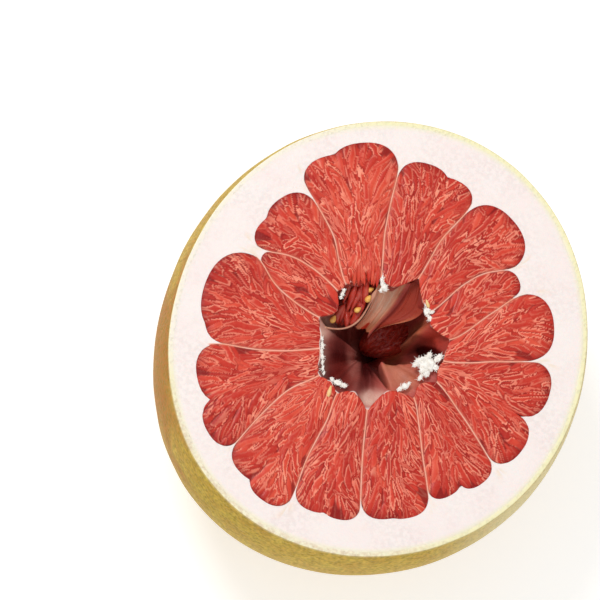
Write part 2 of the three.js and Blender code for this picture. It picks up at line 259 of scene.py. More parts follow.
def smooth(low, high, value):
    """Smooth step: 0 below low, 1 above high, a cubic between them."""
    t = np.clip((value - low) / (high - low), 0, 1)
    return t * t * (3 - 2 * t)


# Meshes


def grid_quads(rows, columns, wrap):
    """Quads of a grid of points, row after row; wrap joins the last column to the first."""
    i, j = np.meshgrid(np.arange(rows - 1), np.arange(columns if wrap else columns - 1), indexing="ij")
    k = (j + 1) % columns
    here, following = i * columns, (i + 1) * columns
    return np.stack((here + j, here + k, following + k, following + j), -1).reshape(-1, 4)


def fan(ring, centre, flip=False):
    """Triangles from each side of a ring of points to one point."""
    following = np.roll(ring, -1)
    middle = np.full_like(ring, centre)
    return np.stack((following, ring, middle) if flip else (ring, following, middle), -1)


def capped_rings(rows, columns, flip=False):
    """Faces of rows of rings of points, closed by one more point at each end; flip turns them over."""
    ring = np.arange(columns)
    quads = grid_quads(rows, columns, True)
    last = ring + (rows - 1) * columns
    caps = np.concatenate((fan(ring, rows * columns, True), fan(last, rows * columns + 1)))
    return [quads[:, ::-1], caps[:, ::-1]] if flip else [quads, caps]


def repeated(faces, copies, each):
    """The same faces for each of a number of copies of a form with that many points."""
    shift = (np.arange(copies) * each)[:, None, None]
    return [(part + shift).reshape(-1, part.shape[1]) for part in faces]


def border_ring(rows, columns):
    """Numbers of the points round the border of a grid."""
    right, left = np.arange(2, rows + 1) * columns - 1, np.arange(rows - 2, 0, -1) * columns
    last = (rows - 1) * columns + np.arange(columns - 2, -1, -1)
    return np.concatenate((np.arange(columns), right, last, left))


def add_piece(name, points, faces, material, attributes=None, nodes=()):
    """A smooth mesh from points in metres and lists of quads and triangles, riding on the fruit."""
    mesh = bpy.data.meshes.new(name)
    loops = np.concatenate([f.ravel() for f in faces]).astype(np.int32)
    totals = np.concatenate([np.full(len(f), f.shape[1]) for f in faces]).astype(np.int32)
    mesh.vertices.add(len(points))
    mesh.vertices.foreach_set("co", np.ascontiguousarray(points, np.float32).ravel())
    mesh.loops.add(len(loops))
    mesh.loops.foreach_set("vertex_index", loops)
    mesh.polygons.add(len(totals))
    mesh.polygons.foreach_set("loop_start", np.concatenate(([0], np.cumsum(totals)[:-1])).astype(np.int32))
    mesh.polygons.foreach_set("loop_total", totals)
    mesh.polygons.foreach_set("use_smooth", np.ones(len(totals), bool))
    mesh.update(calc_edges=True)
    for key, values in (attributes or {}).items():
        layer = mesh.attributes.new(key, "FLOAT", "POINT")
        layer.data.foreach_set("value", np.ascontiguousarray(values, np.float32).ravel())
    piece = bpy.data.objects.new(name, mesh)
    bpy.context.scene.collection.objects.link(piece)
    mesh.materials.append(material)
    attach(piece, "root")
    if nodes:
        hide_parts(*nodes)
    return piece


# Shaders


class Tree:
    """A node tree with short calls for its nodes."""

    def __init__(self, nodes, links):
        self.nodes, self.links = nodes, links

    def give(self, socket, value):
        """Links a socket to another one, or sets its plain value; a colour gets its alpha."""
        if isinstance(value, bpy.types.NodeSocket):
            self.links.new(value, socket)
        else:
            socket.default_value = (*tuple(value)[:3], 1) if socket.type == "RGBA" else value

    def add(self, kind, inputs=None, **settings):
        node = self.nodes.new(kind)
        for key, value in settings.items():
            setattr(node, key, value)
        for key, value in (inputs or {}).items():
            self.give(node.inputs[key], value)
        return node

    def math(self, operation, a, b, clamp=False):
        return self.add("ShaderNodeMath", {0: a, 1: b}, operation=operation, use_clamp=clamp).outputs[0]

    def times(self, a, b, clamp=False):
        return self.math("MULTIPLY", a, b, clamp)

    def mix(self, factor, a, b):
        """Colour a, replaced by colour b as far as the factor says."""
        return self.add("ShaderNodeMix", {0: factor, 6: a, 7: b}, data_type="RGBA").outputs[2]

    def attribute(self, name):
        return self.add("ShaderNodeAttribute", attribute_name=name).outputs["Fac"]

    def mottle(self, size, contrast):
        """Patches of about that size in metres, from 0 to 1."""
        inputs = {"Position": self.place, "Size": size, "Contrast": contrast}
        return self.add("ShaderNodeGroup", inputs, node_tree=mottle_group()).outputs[0]

    def grain(self, size):
        """Relief of about that size in metres, from 0 to 1."""
        inputs = {"Position": self.place, "Size": size}
        return self.add("ShaderNodeGroup", inputs, node_tree=grain_group()).outputs[0]

    def finish(self, colour, roughness, height, depth, specular=0.5, under=None):
        """Colour, roughness, bump of a height times a depth in metres, shine, light from under the skin."""
        skin = self.surface.inputs
        self.give(skin["Base Color"], colour)
        self.give(skin["Roughness"], roughness)
        skin["Specular IOR Level"].default_value = specular
        for key, value in zip(("Weight", "Radius", "Scale"), under or ()):
            skin[f"Subsurface {key}"].default_value = value
        bump = self.add("ShaderNodeBump", {"Height": height, "Distance": depth})
        self.give(skin["Normal"], bump.outputs["Normal"])


def new_material(name):
    """A material and its tree, with object coordinates, surface shader and output in place."""
    material = bpy.data.materials.new(name)
    material.use_nodes = True
    material.node_tree.nodes.clear()
    tree = Tree(material.node_tree.nodes, material.node_tree.links)
    tree.place = tree.add("ShaderNodeTexCoord").outputs["Object"]
    tree.surface = tree.add("ShaderNodeBsdfPrincipled")
    tree.add("ShaderNodeOutputMaterial", {"Surface": tree.surface.outputs[0]})
    return material, tree


def shared_group(name, inputs, output, build):
    """The shader group of that name, built on first use, with named inputs and one output."""
    if name in bpy.data.node_groups:
        return bpy.data.node_groups[name]
    group = bpy.data.node_groups.new(name, "ShaderNodeTree")
    group.interface.new_socket("Position", in_out="INPUT", socket_type="NodeSocketVector")
    for key, default in inputs.items():
        socket = group.interface.new_socket(key, in_out="INPUT", socket_type="NodeSocketFloat")
        socket.default_value = default
    group.interface.new_socket(output, in_out="OUTPUT", socket_type="NodeSocketFloat")
    tree = Tree(group.nodes, group.links)
    result = build(tree, tree.add("NodeGroupInput").outputs)
    tree.add("NodeGroupOutput", {0: result})
    return group


def group_noise(tree, given, finer, detail):
    """Noise at the group's position, that many times finer than its size."""
    scale = tree.math("DIVIDE", finer, given["Size"])
    sockets = {"Vector": given["Position"], "Scale": scale, "Detail": detail}
    return tree.add("ShaderNodeTexNoise", sockets).outputs["Fac"]


def mottle_group():
    """Cloudy patches from 0 to 1: noise pulled towards its ends by contrast."""

    def build(tree, given):
        centred = tree.math("SUBTRACT", group_noise(tree, given, 1.0, 4.0), 0.5)
        return tree.math("ADD", tree.times(centred, given["Contrast"]), 0.5, clamp=True)

    return shared_group("Mottle", {"Size": 0.01, "Contrast": 2.0}, "Mask", build)


def grain_group():
    """Fine relief: noise of one size plus 0.4 of a noise three times finer."""

    def build(tree, given):
        small = tree.times(group_noise(tree, given, 3.0, 1.0), 0.4)
        return tree.math("ADD", group_noise(tree, given, 1.0, 2.0), small)

    return shared_group("Fine grain", {"Size": 0.001}, "Height", build)


def darker(colour, share):
    """A colour with that share of its light."""
    return tuple(c * share for c in colour)


def rind_material(colours):
    """Waxy olive skin: patches of yellow and brown, dark oil glands in dimples, and a pale cut edge."""
    material, tree = new_material("rind_skin")
    specks = tree.mottle(0.0013, 5.0)
    base = tree.mix(tree.mottle(0.03, 2.6), colours.rind_green, colours.rind_yellow)
    base = tree.mix(tree.times(tree.mottle(0.005, 3.0), 0.3), base, colours.rind_brown)
    base = tree.mix(tree.attribute("tan"), base, colours.rind_brown)
    base = tree.mix(tree.times(specks, 0.5), base, darker(colours.rind_green, 0.5))
    glands = tree.add("ShaderNodeTexVoronoi", {"Vector": tree.place, "Scale": 620.0, "Randomness": 0.9})
    limits = {"Value": glands.outputs["Distance"], "From Min": 0.12, "From Max": 0.5}
    pit = tree.add("ShaderNodeMapRange", limits)
    pit = pit.outputs["Result"]
    base = tree.mix(tree.times(tree.math("SUBTRACT", 1.0, pit), 0.5), base, darker(colours.rind_green, 0.5))
    rim = tree.attribute("rim")
    base = tree.mix(tree.times(rim, 2.0, clamp=True), base, colours.rind_cut)
    base = tree.mix(tree.math("SUBTRACT", tree.times(rim, 2.0), 1.0, clamp=True), base, colours.pith)
    base = tree.mix(tree.times(tree.attribute("dots"), specks), base, colours.rind_brown)
    height = tree.math("ADD", pit, tree.times(tree.grain(0.0006), 0.25))
    tree.finish(base, 0.55, height, 0.00025, 0.12, (0.05, (1.0, 0.7, 0.3), 0.001))
    return material


def pith_material(colours):
    """Spongy white pith with a faint blush, membrane on the walls, and the lining of the core, stained and
    partly darkened with painted shade.
    """
    material, tree = new_material("pith_sponge")
    base = tree.mix(tree.times(tree.mottle(0.012, 1.6), 0.6), colours.pith, colours.pith_blush)
    marks = tree.times(tree.times(tree.mottle(0.0016, 7.0), tree.mottle(0.017, 5.0)), 0.16)
    base = tree.mix(marks, base, darker(colours.pith_blush, 0.6))
    for name, colour in (("stain", colours.bundle), ("rim", colours.rind_cut), ("wall", colours.membrane)):
        base = tree.mix(tree.attribute(name), base, colour)
    tone = tree.attribute("tone")
    lining = tree.mix(tone, colours.core_dark_and_shade, colours.core_mauve)
    lining = tree.mix(tree.math("SUBTRACT", tone, 1.0, clamp=True), lining, colours.core_tan)
    lining = tree.mix(tree.times(tree.mottle(0.0045, 1.5), 0.35), lining, colours.core_dark_and_shade)
    lining = tree.mix(tree.attribute("red"), lining, colours.core_red)
    lining = tree.mix(tree.attribute("pale"), lining, colours.core_pale)
    base = tree.mix(tree.attribute("lining"), base, lining)
    roughness = tree.math("ADD", tree.times(tree.attribute("lining"), -0.3), 0.75)
    tree.finish(base, roughness, tree.grain(0.0011), 0.00018, 0.3, (0.15, (1.0, 0.6, 0.5), 0.0015))
    return material


def flesh_material(name, colours, deep, gloss, shine=0.2):
    """Wet juice sacs: each sac has a tone of its own, a pale skin along its sides that is partly a painted
    highlight, and painted shade in its gaps.
    """
    material, tree = new_material(name)
    tone = tree.math("ADD", tree.times(tree.attribute("tone"), 0.7), tree.times(tree.mottle(0.007, 2.2), 0.3))
    base = tree.mix(tone, colours.sac_dark, colours.sac)
    base = tree.mix(tree.math("SUBTRACT", tone, 0.72, clamp=True), base, colours.sac_pale)
    base = tree.mix(tree.times(tree.mottle(0.0009, 2.5), 0.12), base, colours.sac_pale)
    base = tree.mix(tree.attribute("skin"), base, colours.sac_skin)
    base = tree.mix(tree.attribute("shade"), base, colours.sac_painted_shade)
    # deep darkens the whole material towards the core's dark: painted shade for flesh inside the hollow
    if deep:
        base = tree.mix(deep, base, colours.core_dark_and_shade)
    tree.finish(base, gloss, tree.grain(0.0005), 0.00008, shine, (0.2, (1.0, 0.25, 0.15), 0.0012))
    tree.surface.inputs["Coat Weight"].default_value = shine / 4
    tree.surface.inputs["Coat Roughness"].default_value = 0.12
    return material


def seed_material(name, light, dark):
    """Seed coat, darker in patches."""
    material, tree = new_material(name)
    tree.finish(tree.mix(tree.mottle(0.0012, 2.5), light, dark), 0.4, tree.grain(0.0004), 0.00006)
    return material


def membrane_material(colours):
    """Moist membrane from tan to mauve, with red flesh showing through in places, painted shade along its fold
    and a painted highlight on its lower edge.
    """
    material, tree = new_material("torn_membrane")
    base = tree.mix(tree.attribute("tone"), colours.core_mauve, colours.core_tan)
    base = tree.mix(tree.attribute("pale"), base, colours.core_pale)
    base = tree.mix(tree.times(tree.mottle(0.004, 1.8), 0.12), base, colours.core_mauve)
    base = tree.mix(tree.attribute("red"), base, colours.core_red)
    base = tree.mix(tree.attribute("dark"), base, colours.core_dark_and_shade)
    tree.finish(base, 0.5, tree.grain(0.0009), 0.00015, 0.25, (0.2, (1.0, 0.4, 0.3), 0.0012))
    return material


def fluff_material(colours):
    """Dull white fluff with a rough, cream grain and a faint painted glow for the light that it scatters."""
    material, tree = new_material("white_fluff")
    base = tree.mix(tree.times(tree.mottle(0.0012, 2.0), 0.12), colours.fluff, colours.bundle)
    tree.finish(base, 0.85, tree.grain(0.0004), 0.00008, 0.5, (0.3, (1.0, 0.9, 0.85), 0.0015))
    # Painted glow, for the light that the fluff scatters
    tree.give(tree.surface.inputs["Emission Color"], colours.fluff)
    tree.surface.inputs["Emission Strength"].default_value = 0.05
    return material


def floor_material():
    """Matt, nearly even white that glows a little, so that it stays pale."""
    material, tree = new_material("pale_floor")
    base = tree.mix(tree.mottle(0.5, 0.5), (0.86, 0.86, 0.86), (0.88, 0.88, 0.88))
    tree.give(tree.surface.inputs["Base Color"], base)
    for key, value in (("Roughness", 0.9), ("Emission Color", (1, 1, 1, 1)), ("Emission Strength", 0.4)):
        tree.surface.inputs[key].default_value = value
    return material


def kept(name, build, *values):
    """The material of that name, built on first use."""
    return bpy.data.materials.get(name) or build(*values)


# Sizes and colours


def length(name, description, default):
    """A length property in metres."""
    return FloatProperty(name=name, description=description, default=default, unit="LENGTH")


class PomeloSizes(PropertyGroup):
    """Sizes of the finer forms, in metres"""

    septum: length("Wall width", "Wall between two segments", 0.00036)
    sac_width: length("Sac width", "Widest part of a juice sac", 0.00195)
    sac_length: length("Sac length", "Length of a juice sac", 0.0135)
    sac_relief: length("Sac relief", "Depth of the sacs", 0.00042)
    flesh_step: length("Flesh step", "Spacing of flesh points", 0.000225)
    camera_distance: length("Camera distance", "From the face", 2.0)


def colour(name, description, red, green, blue):
    """A colour property whose default is given as a screen colour."""
    return FloatVectorProperty(
        name=name, description=description, default=linear(red, green, blue), subtype="COLOR", min=0, max=1
    )


class PomeloColours(PropertyGroup):
    """Colours of the fruit"""

    rind_green: colour("Rind green", "Olive parts of the skin", 204, 174, 62)
    rind_yellow: colour("Rind yellow", "Yellow parts of the skin", 219, 187, 84)
    rind_brown: colour("Rind brown", "Brownish parts of the skin", 172, 84, 30)
    rind_cut: colour("Rind cut edge", "Cut edge of the skin", 247, 240, 194)
    fluff: colour("Fluff", "Spongy white remains", 255, 251, 244)
    pith: colour("Pith", "White pith", 251, 241, 236)
    pith_blush: colour("Pith blush", "Pinkish parts of the pith", 250, 230, 226)
    bundle: colour("Bundles", "Yellowish spots in the pith", 238, 205, 150)
    membrane: colour("Membrane", "Walls between segments", 253, 166, 136)
    # The lining's own dark red, which also serves as painted shade in the hollow, along the sheet's crease and
    # under the largest tuft
    core_dark_and_shade: colour("Core dark", "Darkest lining of the hollow", 66, 6, 8)
    core_mauve: colour("Core mauve", "Lining of the hollow", 205, 96, 86)
    core_tan: colour("Core tan", "Lit lining of the hollow", 194, 124, 82)
    core_red: colour("Core red", "Flesh seen through the lining", 176, 42, 20)
    core_pale: colour("Core pale", "Pale membrane in the hollow", 228, 204, 184)
    sac: colour("Juice sac", "Flesh", 220, 62, 44)
    sac_dark: colour("Dark sac", "Darker flesh", 178, 26, 22)
    sac_pale: colour("Pale sac", "Lightest flesh", 238, 122, 90)
    sac_skin: colour("Sac skin", "Skin along a sac", 253, 160, 132)
    # Painted shade: the colour laid in the gaps between sacs, along the lobes' ends and beside the walls
    sac_painted_shade: colour("Sac shade", "Gaps between sacs", 130, 8, 10)
    seed: colour("Seed", "Seed coat", 255, 208, 116)
    seed_tip: colour("Seed tip", "Darker seed coat", 238, 162, 68)
    seed_pale: colour("Pale seed", "Undeveloped seed in the flesh", 242, 200, 126)


# Pieces


class PomeloRind(Operator):
    """Skin of the dome with its cut edge"""

    bl_idname = "pomelo.rind"
    bl_label = "Rind"

    def execute(self, context):
        """Rings up the outside, over the cut edge and down inside: circles times the outline's waves."""
        low, high = math.acos(WIDEST_Z / BODY_DEPTH), math.pi / 2 + math.asin(FACE_RISE / BODY_DEPTH)
        outside, inside, inset = np.linspace(low, high, 104), np.linspace(high, low, 14)[1:], 0.15
        skin_radius = (WIDEST_RADIUS - inset) * np.sin(outside)
        skin_z = np.maximum(WIDEST_Z - (BODY_DEPTH - inset * np.sin(outside)) * np.cos(outside), 0)
        skin_z[-1] = HEIGHT - 0.12
        foot_radius, foot_z = (0.0015, 1.2, 2.6, 3.8, 6.0, 9.0), (0.9, 0.85, 0.45, 0.06, 0.0, 0.0)
        cut, sunk = np.array([[0.12, 0.35, 0.8, 1.3, 1.75, 2.3], [0, 0, 0.02, 0.05, 0.1, 0.22]])
        inner_radius = (WIDEST_RADIUS - RIND) * np.sin(inside)
        inner_z = WIDEST_Z - (BODY_DEPTH - RIND) * np.cos(inside)
        radius = (foot_radius, skin_radius, skin_radius[-1] - cut, inner_radius, [0.0015])
        radius = np.concatenate(radius)[:, None]
        z = np.concatenate((foot_z, skin_z, HEIGHT - sunk, inner_z, [RIND]))[:, None]
        edge = [0.2, 0.4, 0.5, 0.52, 0.58, 0.7, 0.8]
        outer = np.zeros(len(foot_z) + len(outside) - 1)
        rim = np.concatenate((outer, edge, np.ones(len(inside) + 1)))[:, None]

        columns = 480
        angle = np.arange(columns)[None] * 360 / columns
        turn = np.radians(angle)
        r = radius * skin_share(angle)
        lumps = noise(np.cos(turn) * r / 9, np.sin(turn) * r / 9, z / 9, 3)
        r = r - 0.12 * (lumps + 1) * (rim < 0.6) * np.minimum(radius / 20, 1)
        points = to_frame(r * np.cos(turn), r * np.sin(turn), z + 0 * turn)

        # A tan patch at the left, a pale edge at the lower left, paler skin at the lower right
        across, up = np.broadcast_arrays(angle, z)
        tan = 0.95 * np.exp(-(((across - 182) / 27) ** 2)) * smooth(8, 50, up)
        tan = tan + 0.3 * noise(across / 14, up / 9, 0.0, 8) + 0.22 * noise(across / 4, up / 4, 0.0, 9)
        low_left = smooth(185, 205, across) * smooth(300, 262, across)
        low_right = smooth(281, 312, across) + smooth(60, 20, across)
        rim = rim + (0.93 - rim) * (1 - edge_tint(across)) * (rim >= 0.2)
        rim = rim + 0.6 * (0.78 - rim) * low_left * (rim > 0.3)
        rim = np.where(rim < 0.2, 0.26 * low_right * smooth(35, 60, up), rim)
        values = {
            "rim": rim,
            "tan": np.maximum(0.7 * smooth(0.1, 0.85, tan), 0.16 * low_right),
            "dots": 0.3 * low_left * smooth(0.1, 0.3, rim) * smooth(0.85, 0.6, rim),
        }
        faces = [grid_quads(len(radius), columns, True)]
        material = kept("rind_skin", rind_material, context.scene.pomelo_colours)
        add_piece("rind_skin", points.reshape(-1, 3), faces, material, values, ["rind"])
        return {"FINISHED"}


def face_columns():
    """Columns of the pith's face: for each segment, distances from its walls and shares between them."""
    near = np.array([0, 0.12, 0.22, 0.3, 0.4, 0.6, 0.95, 1.5, WALL_REACH])
    between = np.linspace(0, 1, 20)[1:-1]
    share = np.concatenate((np.zeros(9), between, np.ones(8)))
    offset = np.concatenate((near, WALL_REACH * (1 - 2 * between), -near[:0:-1]))
    return share, offset


def oval_patch(x, y, cx, cy, wide, tall, turned):
    """Soft oval, 1 at its middle: the exponential of minus the cube of the distance over its half sizes."""
    c, s = math.cos(math.radians(turned)), math.sin(math.radians(turned))
    u, v = (x - cx) * c + (y - cy) * s, (y - cy) * c - (x - cx) * s
    return np.exp(-((u / wide) ** 2 + (v / tall) ** 2) ** 1.5)


class PomeloPith(Operator):
    """White pith: the face round the segments, the walls between them and the lining of the hollow"""

    bl_idname = "pomelo.pith"
    bl_label = "Pith"

    def execute(self, context):
        """Rings: up the hidden side, over the face to the hollow, down its lining and over its floor."""
        half_wall = context.scene.pomelo_sizes.septum / MM / 2
        blocks = [self.face(number, half_wall) for number in range(14)]
        face = {key: np.concatenate([block[key][:, :-1] for block in blocks], 1) for key in blocks[0]}
        angle, radius = face["angle"], face["radius"]
        turn = np.radians(angle)
        z = face["z"] + 0.10 * noise(radius * np.cos(turn) / 5, radius * np.sin(turn) / 5, 0.0, 4) - 0.1
        face["wall"] = face["wall"] * (0.88 + 0.12 * noise(radius / 2.5, angle / 8, 0.0, 17))

        up = np.linspace(0.35, math.pi / 2 + math.asin(FACE_RISE / BODY_DEPTH), 12)[:-1, None]
        side_radius = (WIDEST_RADIUS - RIND - 0.1) * np.sin(up) * skin_share(angle[:1])
        side_z = WIDEST_Z - (BODY_DEPTH - RIND - 0.1) * np.cos(up) + 0 * side_radius
        lining_radius, lining_z, drape = self.lining(angle[-1:], face["core"], face["drop"])
        floor_share = np.array([0.72, 0.45, 0.2])[:, None]
        floor_level = HEIGHT - CORE_DEPTH - 0.6
        floor_z = lining_z[-1] + (floor_level - lining_z[-1]) * (1 - floor_share**4)

        first, rows = len(side_z), len(side_z) + len(z)
        below = len(lining_z) + len(floor_z)
        angle = np.concatenate((np.repeat(angle[:1], first, 0), angle, np.repeat(angle[-1:], below, 0)))
        radius = np.concatenate((side_radius, radius, lining_radius, lining_radius[-1] * floor_share))
        height = np.concatenate((side_z, z, lining_z, floor_z))
        x, y = radius * np.cos(np.radians(angle)), radius * np.sin(np.radians(angle))
        values = self.lining_colours(x, y, HEIGHT - height, rows, drape)
        for key in ("wall", "stain", "rim"):
            values[key] = np.zeros(radius.shape)
            values[key][first:rows] = face[key]

        points = to_frame(x, y, height).reshape(-1, 3)
        ends = [to_frame(0.0, 0.0, level)[None] for level in (RIND + 0.4, floor_level)]
        points = np.concatenate((points, *ends))
        faces = capped_rings(*radius.shape)
        values = {key: np.append(value.ravel(), [0, value[-1, 0]]) for key, value in values.items()}
        material = kept("pith_sponge", pith_material, context.scene.pomelo_colours)
        add_piece("pith_body", points, faces, material, values, ["pith"])
        return {"FINISHED"}

    def face(self, number, half_wall):
        """The face over one segment and its half walls, in rows from the rind in to the hollow."""
        share, offset = face_columns()
        out_rows = np.append(0.985 * np.linspace(0, 1, 30) ** 1.6, 1.035)[::-1, None]
        in_rows = np.append(np.linspace(0, 0.965, 32), (0.98, 0.99, 1))[::-1, None]

        def angle_at(radius):
            low, high = wall_angle(number, radius), wall_angle(number + 1, radius)
            width = np.radians(high - low) * radius
            squeeze = np.minimum(1, 0.3 * width / WALL_REACH)
            return low + (high - low) * share + np.degrees(offset * squeeze / radius), width, squeeze

        width, squeeze = angle_at(np.full(share.shape, 60.0))[1:]
        core = core_edge(number, share)
        lobe = lobe_edge(number, np.clip(share + offset * squeeze / width, 0, 1))
        joint = smooth(0.35, 0.0, np.abs(offset))
        for end in (0, 1):
            own = lobe_edge(number, np.array([float(end)]))[0]
            next_lobe = lobe_edge((number + 2 * end - 1) % 14, np.array([1.0 - end]))[0]
            lobe = np.where(share == end, lobe + ((next_lobe + own) / 2 - lobe) * joint, lobe)
        rim = (WIDEST_RADIUS - RIND + 0.15) * FACE_SHARE * skin_share(angle_at(np.full(share.shape, 66.0))[0])
        radius = np.concatenate((lobe + (rim - lobe) * out_rows, (core + (lobe - core) * in_rows)[1:]))
        angle, width, squeeze = angle_at(radius)
        walls = np.minimum(share * width + offset * squeeze, (1 - share) * width - offset * squeeze)
        true_lobe = lobe_edge(number, np.clip(share + offset * squeeze / width, 0, 1))
        inside = smooth(half_wall, half_wall + 0.3, walls) * smooth(0.12, 0.5, true_lobe - radius)
        inside = inside * smooth(0.35, 0.75, radius - core)
        torn = smooth(2.0, 4.0, walls) * (number == TORN_SEGMENT) * smooth(8, 2, radius - core)
        z = HEIGHT - 1.7 * inside - 5 * torn
        z[0] -= 0.22
        wall = smooth(0.8, -0.4, radius - true_lobe) * smooth(half_wall + 0.5, half_wall, walls) * (1 - inside)
        notch = np.exp(-(((radius - lobe - 3.5) / 2.0) ** 2) - (walls / 1.6) ** 2)
        return {
            "angle": angle, "radius": radius, "z": z, "core": core[None], "drop": 5 * torn[-1:],
            "wall": np.maximum(wall, smooth(1.2, 0.6, radius - core)),
            "rim": 0.75 * smooth(2.0, -0.6, rim - radius) * edge_tint(angle),
            "stain": 0.35 * notch * smooth(0.55, 0.85, noise(radius / 3, angle / 4, 0.0, 5) * 0.5 + 0.6),
        }

    def lining(self, angle, core, drop):
        """The hollow's wall: its width shrinks with depth, with ripples, a ledge, two shelves and a drape.

        The drape is the membrane at the left, whose radius falls evenly with depth.
        """
        depth = CORE_DEPTH * np.linspace(0, 1, 66)[1:, None] ** 1.35
        turn = np.radians(angle)
        ripple = noise(np.cos(turn) * 4.5, np.sin(turn) * 4.5, depth / 9, 11)
        ripple = ripple + 0.6 * noise(np.cos(turn) * 11, np.sin(turn) * 11, depth / 5, 12)
        plain = core * core_share(HEIGHT - depth)
        reach = 7.1 / np.maximum(np.abs(np.sin(turn)), 0.3)
        ledge = np.maximum(plain - reach, 0) * smooth(285, 291, angle) * smooth(342, 334, angle)
        ledge = ledge * smooth(0.3, 6.5, depth) * smooth(19, 10, depth)
        shelf = 5.5 * np.exp(-(((angle - 264) / 8) ** 2)) * smooth(0, 3, depth)
        shelf = shelf + 4.5 * np.exp(-(((angle - 6) / 15) ** 2)) * smooth(0, 7, depth)
        radius = plain + 0.7 * (ripple - 0.2) * smooth(0, 6, depth) - ledge - shelf
        drape = smooth(151, 166, angle) * smooth(289, 280, angle)
        way = depth / CORE_DEPTH
        folds = 0.35 * noise(angle / 14, way * 2, 0.0, 13) * smooth(0, 0.3, way)
        slope = core * (1 - 0.84 * way**0.85) + folds - shelf * smooth(1, 0.3, way)
        down = np.maximum(depth + (DRAPE_DEPTH * way**1.15 - depth) * drape, drop + 0.05 * depth)
        return radius + (slope - radius) * drape, HEIGHT - down, drape

    def lining_colours(self, x, y, down, rows, drape):
        """Tone, red and pale of the lining: noise, darker on the drape, plus the soft patches of the table,
        whose lowered tone is painted shade.
        """
        lining = np.zeros(x.shape)
        lining[rows:] = 1
        lining[rows : rows + 2] = np.array([[0.25], [0.7]])
        tone = 0.75 + 0.15 * noise(x / 4, y / 4, down / 6, 21)
        tone[rows:] -= 0.46 * drape
        values = {"tone": tone, "red": 0.0, "pale": 0.0}
        seen = x - LEAN[0] * down, y - LEAN[1] * down
        for key, amount, patch in LINING_PATCHES:
            values[key] = values[key] + amount * oval_patch(*seen, *patch)
        # No red in the painted shadow under the largest tuft
        values["red"] = values["red"] * (1 - oval_patch(*seen, *TUFT_SHADOW))
        values["pale"] = values["pale"] * (0.75 + 0.35 * noise(x / 2.2, y / 2.2, down / 5, 23))
        return {
            "lining": lining, "tone": np.clip(values["tone"], 0, 2),
            "red": np.clip(values["red"], 0, 1), "pale": np.clip(values["pale"], 0, 1),
        }


def spindle_field(x, y, spindles):
    """Height, skin, painted shade and tone at points of a plane covered with long cells.

    Each cell has a middle, direction, half length, half width, level, tone and skin. Its height is its level
    plus half of one minus the squares of the distances along and across it, each over its half size, and the
    highest cell shows. The distance to the next cell is the difference of the two heights over the difference
    of their slopes: along it the higher of the two cells has pale skin that is partly a painted highlight, and
    the lower one gets painted shade, as do places where the top cell is low.
    """
    cx, cy, direction, length, width, level, tone, bold = spindles
    c, s = np.cos(direction), np.sin(direction)
    x, y = (
        x + 0.45 * noise(x / 4.5, y / 4.5, 0.0, 71) + 0.03 * noise(x / 1.2, y / 1.2, 0.0, 73),
        y + 0.45 * noise(x / 4.5, y / 4.5, 0.0, 72) + 0.03 * noise(x / 1.2, y / 1.2, 0.0, 74),
    )
    height = np.empty(len(x), np.float32)
    skin, shade, own = np.empty_like(height), np.empty_like(height), np.empty_like(height)
    for start in range(0, len(x), 4096):
        part = slice(start, start + 4096)
        dx, dy = x[part, None] - cx, y[part, None] - cy
        along, off = (dx * c + dy * s) / length, (dy * c - dx * s) / width
        h = level + 0.5 * (1 - along * along - off * off)
        row = np.arange(len(h))
        best = []
        for _ in range(2):
            top = np.argmax(h, 1)
            a, o = along[row, top] / length[top], off[row, top] / width[top]
            best.append((top, h[row, top], a * c[top] - o * s[top], a * s[top] + o * c[top]))
            h[row, top] = -1e9
        (first, high, gx, gy), (second, low, kx, ky) = best
        away = (high - low) / np.maximum(np.hypot(gx - kx, gy - ky), 0.3)
        over = level[first] > level[second]
        height[part] = np.maximum(high, 0.0)
        # Pale skin only on the higher side of an edge is partly painted highlight; the lower side and low
        # places get painted shade
        skin[part] = 0.93 * smooth(0.6, 0.28, away) * over * bold[first]
        shade[part] = np.maximum(0.72 * smooth(0.5, 0.24, away) * ~over * bold[second], smooth(0.3, 0.0, high))
        own[part] = tone[first]
    return height, skin, shade, own


def make_spindles(number, sizes, random):
    """Spindles that lie along a segment, more of them where it is wide, tilted a little at random."""
    half_width, half_length = sizes.sac_width / MM / 2, sizes.sac_length / MM / 2
    middle = np.linspace(0, 1, 40)
    length = np.mean(lobe_edge(number, middle) - core_edge(number, middle))
    x, y = segment_point(number, np.array([0.0, 1.0]), np.array([0.75, 0.75]), HEIGHT, 0.3)
    width = math.hypot(x[1] - x[0], y[1] - y[0])
    count = int(SAC_COUNT * width * length)
    across = random.uniform(-0.02, 1.02, count)
    out = 1.66 * (np.sqrt(0.16 + 0.84 * random.uniform(-0.03, 1.0, count)) - 0.4)
    x0, y0 = segment_point(number, across, out, HEIGHT, 0.3)
    x1, y1 = segment_point(number, across, out + 0.02, HEIGHT, 0.3)
    direction = np.arctan2(y1 - y0, x1 - x0)
    side = 2 * across - 1
    direction = direction + 0.6 * side * (0.35 + 0.65 * smooth(0.2, 0.9, out))
    direction = direction + 0.45 * noise(x0 / 7, y0 / 7, number + 0.5, 31) + random.normal(0, 0.17, count)
    direction = direction + (random.uniform(0, 1, count) < 0.1) * random.uniform(-0.7, 0.7, count)
    size = random.uniform(0.55, 1.35, count)
    short = 1 - 0.4 * smooth(0.8, 1.0, out)
    return (
        x0, y0, direction, half_length * size * short, half_width * random.uniform(0.7, 1.35, count),
        random.uniform(0, 0.6, count), np.clip(random.normal(0.5, 0.42, count), 0, 1),
        random.uniform(0.15, 1, count),
    )


